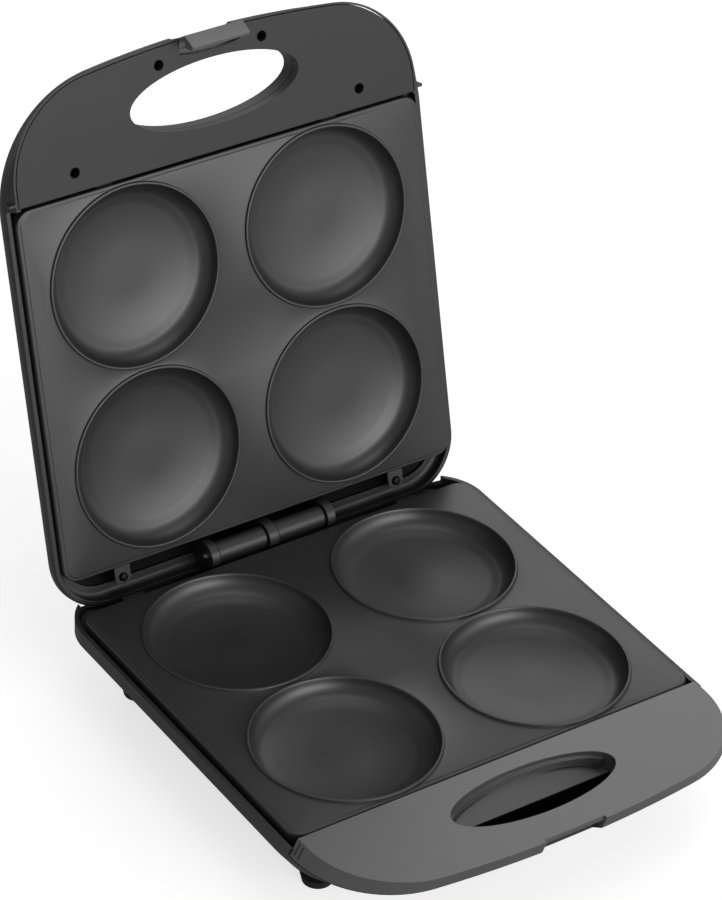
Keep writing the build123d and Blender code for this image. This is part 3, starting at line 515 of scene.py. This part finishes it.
def screw_set(name, node, body, places, upright, head_radius, length, finish, shank=SHANK):
    """Like screws of one node, made at their seats and put where their half of the machine stands."""
    seats = bpy.data.meshes.new(name)
    seats.from_pydata(places, [], [])
    maker = bpy.data.objects.new(name + "_maker", seats)
    bpy.context.scene.collection.objects.link(maker)
    modifier = maker.modifiers.new("screws", "NODES")
    modifier.node_group = pan_head_screw
    sizes = {"Head Radius": head_radius, "Head Height": HEAD_HEIGHT, "Shank Radius": shank,
             "Length": length, "Finish": finish}
    for socket in pan_head_screw.interface.items_tree:
        if socket.name in sizes:
            modifier[socket.identifier] = sizes[socket.name]
    graph = bpy.context.evaluated_depsgraph_get()
    mesh = bpy.data.meshes.new_from_object(maker.evaluated_get(graph))
    maker.modifiers.remove(modifier)
    bpy.data.objects.remove(maker)
    mesh.name = name
    mesh.transform(upright)
    if upright.determinant() < 0:
        mesh.flip_normals()
    work = bmesh.new()
    work.from_mesh(mesh)
    shade_by_angle(work, 35)
    work.to_mesh(mesh)
    work.free()
    slot_name = "screw_black" if finish == black_steel else "screw_steel"
    return finish_piece(bpy.data.objects.new(name, mesh), body, slot_name, node)


def seats(points, depth):
    return [(x, y, depth) for x, y in points]


# Black-oxide steel, oiled: dark, with a dull edge shine.
black_steel = drawn_metal("black_oxide_steel", "#1f1f20", "#333334", 0.45, 0.8)
pan_head_screw = screw_tree()
ELEMENT_SEATS = [(0, -0.072), (0, -0.048), (0, 0.060)]
COVER_SEATS = [(x, -0.118) for x in (-0.0883, 0.0883)] + [(x, -0.162) for x in (-0.0317, 0.0317)]
BASE_COVER_SEATS = [(x, -0.118, -0.0185) for x in (-0.0883, 0.0883)]
BASE_COVER_SEATS += [(x, -0.155, -0.0156) for x in (-0.040, 0.040)]
UPSIDE_DOWN = [(x, y, 0.00655) for x, y in FRONT_EARS]
screw_set("base_plate_screw_set", "base_plate_screws", "base", UPSIDE_DOWN, RAISE @ FLIP, 0.003, 0.009, black_steel)
screw_set("lid_plate_screw_set", "lid_plate_screws", "lid", seats(REAR_EARS + FRONT_EARS, 0.00495), SWING,
          0.0026, 0.008, black_steel)
screw_set("base_element_screw_set", "base_heater_screws", "base", seats(ELEMENT_SEATS, -0.0244), RAISE,
          0.0028, 0.007, plated_steel)
screw_set("lid_element_screw_set", "lid_heater_screws", "lid", seats(ELEMENT_SEATS, -0.0244), SWING @ FLIP,
          0.0028, 0.007, plated_steel)
screw_set("switch_screw_set", "thermostat_screws", "base", seats([(-0.013, 0), (0.013, 0)], -0.00895), RAISE,
          0.0023, 0.004, plated_steel, shank=0.00105)
screw_set("base_cover_screw_set", "base_panel_screws", "base", BASE_COVER_SEATS, RAISE, 0.0027, 0.011, black_steel)
screw_set("lid_cover_screw_set", "lid_panel_screws", "lid", seats(COVER_SEATS, 0.0075), SWING,
          0.0026, 0.0058, black_steel)


# ---- Wiring ----
# Glass-fibre sleeved leads, the sleeved fuse and the nylon terminal block, all inside the shells.

def woven_sleeve():
    """Braided glass fibre, varnished: cream, with a 1 mm braid that runs round and along the lead."""
    material, tree = new_material("glass_fibre_sleeve")
    place = add_node(tree, "ShaderNodeTexCoord").outputs["Object"]
    braid = add_node(tree, "ShaderNodeTexWave", {"Vector": place, "Scale": 1000 / 6.3, "Distortion": 1.5,
                                                 "Detail": 2.0}, bands_direction="DIAGONAL")
    paint = add_node(tree, "ShaderNodeMix", {"Factor": braid.outputs["Fac"], "A": colour("#b9b4a4"),
                                             "B": colour("#ded9c9")}, data_type="RGBA")
    bump = add_node(tree, "ShaderNodeBump", {"Strength": 0.5, "Distance": 0.0002, "Height": braid.outputs["Fac"]})
    shader = add_node(tree, "ShaderNodeBsdfPrincipled", {
        "Base Color": paint.outputs["Result"], "Roughness": 0.7, "IOR": 1.5, "Normal": bump.outputs[0]})
    add_node(tree, "ShaderNodeOutputMaterial", {"Surface": shader.outputs[0]})
    return material


sleeve = woven_sleeve()
nylon = moulded_plastic("natural_nylon", "#cfcab9", "#dcd8c8", 0.4, 1.2, 0.03)
for node in ("base_leads", "lid_leads", "thermal_fuse"):
    dress(node, sleeve)
dress("terminal_block", nylon)


# ---- Lamps ----
# Two clear coloured lenses in the lid's top, red for power and green for ready, over small neon lamps.

def clear_plastic(name, tint, density_mm):
    """Injection-moulded polycarbonate: clear and coloured, polished, with faint flow streaks 4 mm apart."""
    material, tree = new_material(name)
    place = add_node(tree, "ShaderNodeTexCoord").outputs["Object"]
    streaks = add_node(tree, "ShaderNodeTexNoise", {"Vector": place, "Scale": 1000 / density_mm, "Detail": 1.0})
    paint = add_node(tree, "ShaderNodeMix", {"Factor": streaks.outputs["Fac"], "A": colour(tint[0]),
                                             "B": colour(tint[1])}, data_type="RGBA")
    gloss = add_node(tree, "ShaderNodeMapRange", {"Value": streaks.outputs["Fac"], "To Min": 0.08, "To Max": 0.16})
    shader = add_node(tree, "ShaderNodeBsdfPrincipled", {
        "Base Color": paint.outputs["Result"], "Roughness": gloss.outputs[0], "IOR": 1.585,
        "Transmission Weight": 0.55})
    add_node(tree, "ShaderNodeOutputMaterial", {"Surface": shader.outputs[0]})
    return material


dress("power_lens", clear_plastic("red_polycarbonate", ("#8e0f0a", "#b3160f"), 4))
dress("ready_lens", clear_plastic("green_polycarbonate", ("#0d6b25", "#158a33"), 4))
dress("lamps", clear_plastic("lamp_glass", ("#d9cbb8", "#efe4d6"), 2))


# ---- Stage ----
# A white studio sweep, a broad low window in front, a panel behind on the right, and the photograph's camera.

def studio_white():
    """White floor: it takes a soft shadow, and away from the object it is as white as the backdrop."""
    material, tree = new_material("studio_white")
    rays = add_node(tree, "ShaderNodeLightPath")
    place = add_node(tree, "ShaderNodeTexCoord").outputs["Object"]
    paper = add_node(tree, "ShaderNodeTexNoise", {"Vector": place, "Scale": 6.0})
    tone = add_node(tree, "ShaderNodeMapRange", {"Value": paper.outputs["Fac"], "To Min": 0.6, "To Max": 0.64})
    diffuse = add_node(tree, "ShaderNodeBsdfDiffuse", {"Color": tone.outputs[0]})
    lift = add_node(tree, "ShaderNodeMath", {0: rays.outputs["Is Camera Ray"], 1: 0.7}, operation="MULTIPLY")
    glow = add_node(tree, "ShaderNodeEmission", {"Strength": lift.outputs[0]})
    both = add_node(tree, "ShaderNodeAddShader", {0: diffuse.outputs[0], 1: glow.outputs[0]})
    add_node(tree, "ShaderNodeOutputMaterial", {"Surface": both.outputs[0]})
    return material


floor_mesh = bpy.data.meshes.new("floor")
floor_mesh.from_pydata([(-4, -4, 0), (4, -4, 0), (4, 4, 0), (-4, 4, 0)], [], [(0, 1, 2, 3)])
floor_mesh.materials.append(studio_white())
floor = bpy.data.objects.new("floor", floor_mesh)
bpy.context.scene.collection.objects.link(floor)

world = bpy.data.worlds.new("studio")
world.use_nodes = True
sky = world.node_tree
sky.nodes.clear()
rays = add_node(sky, "ShaderNodeLightPath")
seen = add_node(sky, "ShaderNodeMath", {0: rays.outputs["Is Camera Ray"], 1: rays.outputs["Is Transmission Ray"]},
                operation="MAXIMUM")
ambient = add_node(sky, "ShaderNodeBackground", {"Color": (1, 1, 1, 1), "Strength": 0.27})
backdrop = add_node(sky, "ShaderNodeBackground", {"Color": (1, 1, 1, 1), "Strength": 1.0})
either = add_node(sky, "ShaderNodeMixShader", {0: seen.outputs[0], 1: ambient.outputs[0], 2: backdrop.outputs[0]})
add_node(sky, "ShaderNodeOutputWorld", {"Surface": either.outputs[0]})
bpy.context.scene.world = world


def softbox(name, place, aim, width, height, watts):
    light = bpy.data.lights.new(name, "AREA")
    light.shape = "RECTANGLE"
    light.size, light.size_y, light.energy = width, height, watts
    lamp = bpy.data.objects.new(name, light)
    lamp.location = place
    lamp.rotation_euler = (Vector(aim) - Vector(place)).to_track_quat("-Z", "Y").to_euler()
    bpy.context.scene.collection.objects.link(lamp)


softbox("front_window", (0.3, -2.3, 0.8), (0, 0, 0.1), 2.0, 1.2, 29)
softbox("front_right_fill", (1.7, -1.5, 0.9), (0, 0, 0.1), 1.6, 1.4, 6)
softbox("rear_right_panel", (1.4, 1.9, 1.5), (0, 0, 0.1), 2.4, 1.6, 14)
softbox("overhead", (0.2, -0.1, 2.3), (0, 0, 0.1), 1.4, 1.4, 6)

# The camera stands at the photograph's place and aims at a point on the lid's plate, tilted a little.
camera_data = bpy.data.cameras.new("camera")
camera_data.sensor_width = 36
camera_data.lens = 166.0
camera_data.clip_end = 20
camera = bpy.data.objects.new("camera", camera_data)
camera.location = (-1.0173, -1.4366, 1.4040)
aim = Vector((0.04925, 0.08269, 0.100)) - camera.location
camera.rotation_euler = (aim.to_track_quat("-Z", "Y").to_matrix()
                         @ Matrix.Rotation(radians(2.83), 3, "Z")).to_euler()
bpy.context.scene.collection.objects.link(camera)
bpy.context.scene.camera = camera
bpy.context.scene.view_settings.view_transform = "Standard"
